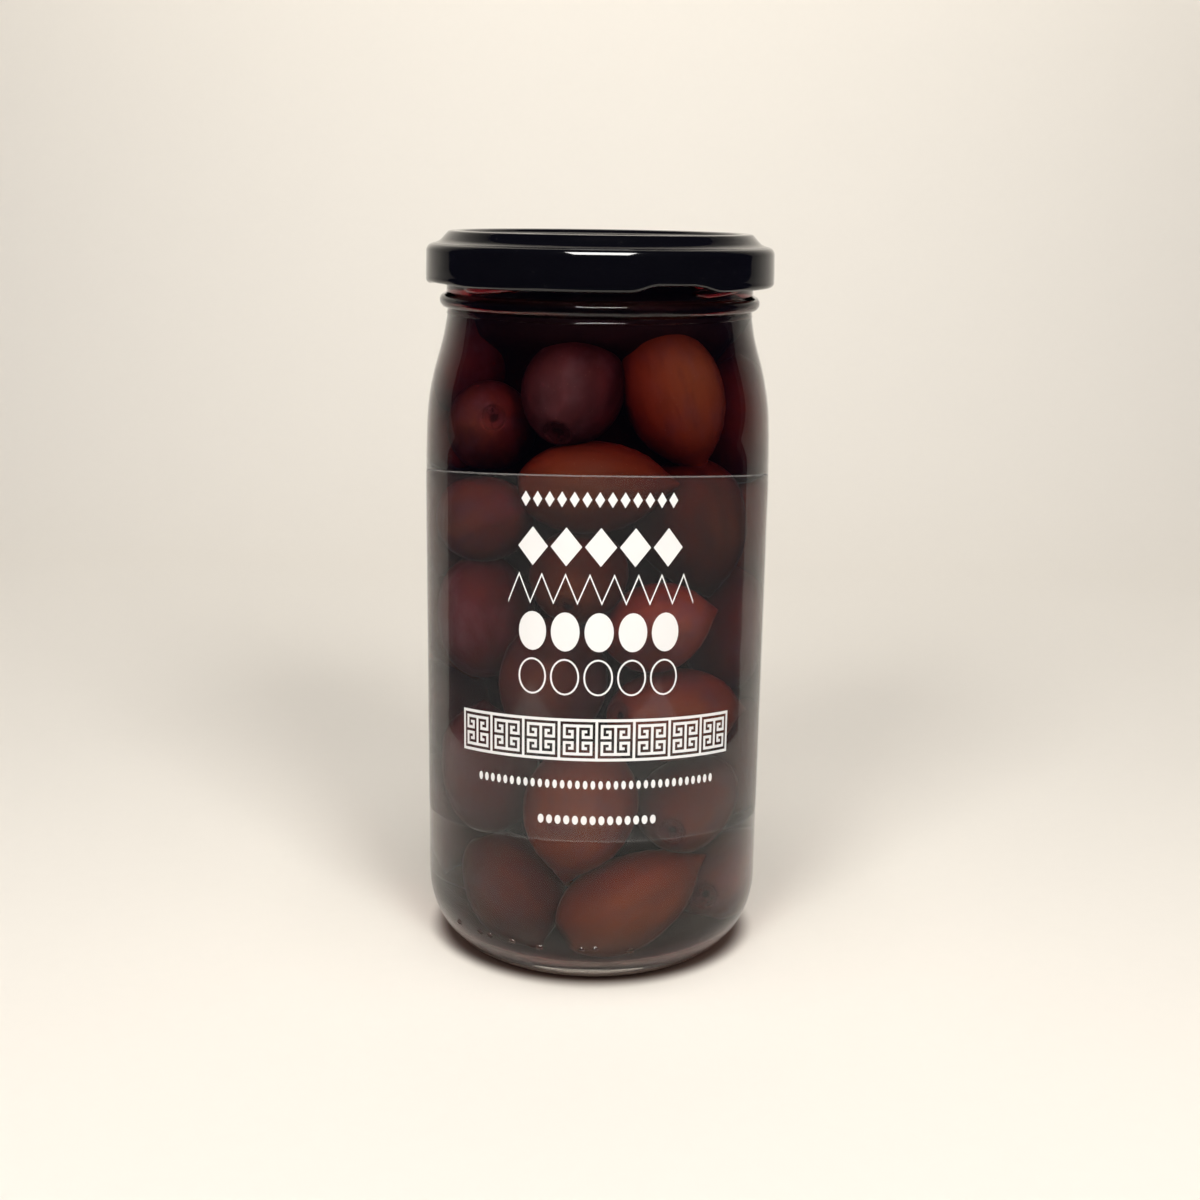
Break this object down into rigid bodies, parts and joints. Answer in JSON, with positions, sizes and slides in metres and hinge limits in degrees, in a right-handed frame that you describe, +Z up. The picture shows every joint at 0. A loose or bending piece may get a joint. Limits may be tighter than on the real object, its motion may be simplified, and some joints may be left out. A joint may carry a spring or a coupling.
{
  "type": "jar of olives",
  "caption": "Shut clear glass jar of whole dark olives in brine, with a black twist-off metal lid and a clear printed film label.",
  "frame": {"origin": "centre of the jar's base, on the surface that it stands on", "axes": "+Z up along the jar's axis, -Y out of the front of the label, +X to the right as the label is read"},
  "size_m": [0.067, 0.0675, 0.1414],
  "materials": {
    "jar": "clear smooth glass",
    "lid": "glossy black lacquer on tinplate",
    "label": "clear satin film with white print",
    "olives": "wet smooth olive skin"
  },
  "bodies": {
    "root": {"jar": "jar", "lid": "lid", "label": "label", "olives": "olives"}
  },
  "joints": []
}
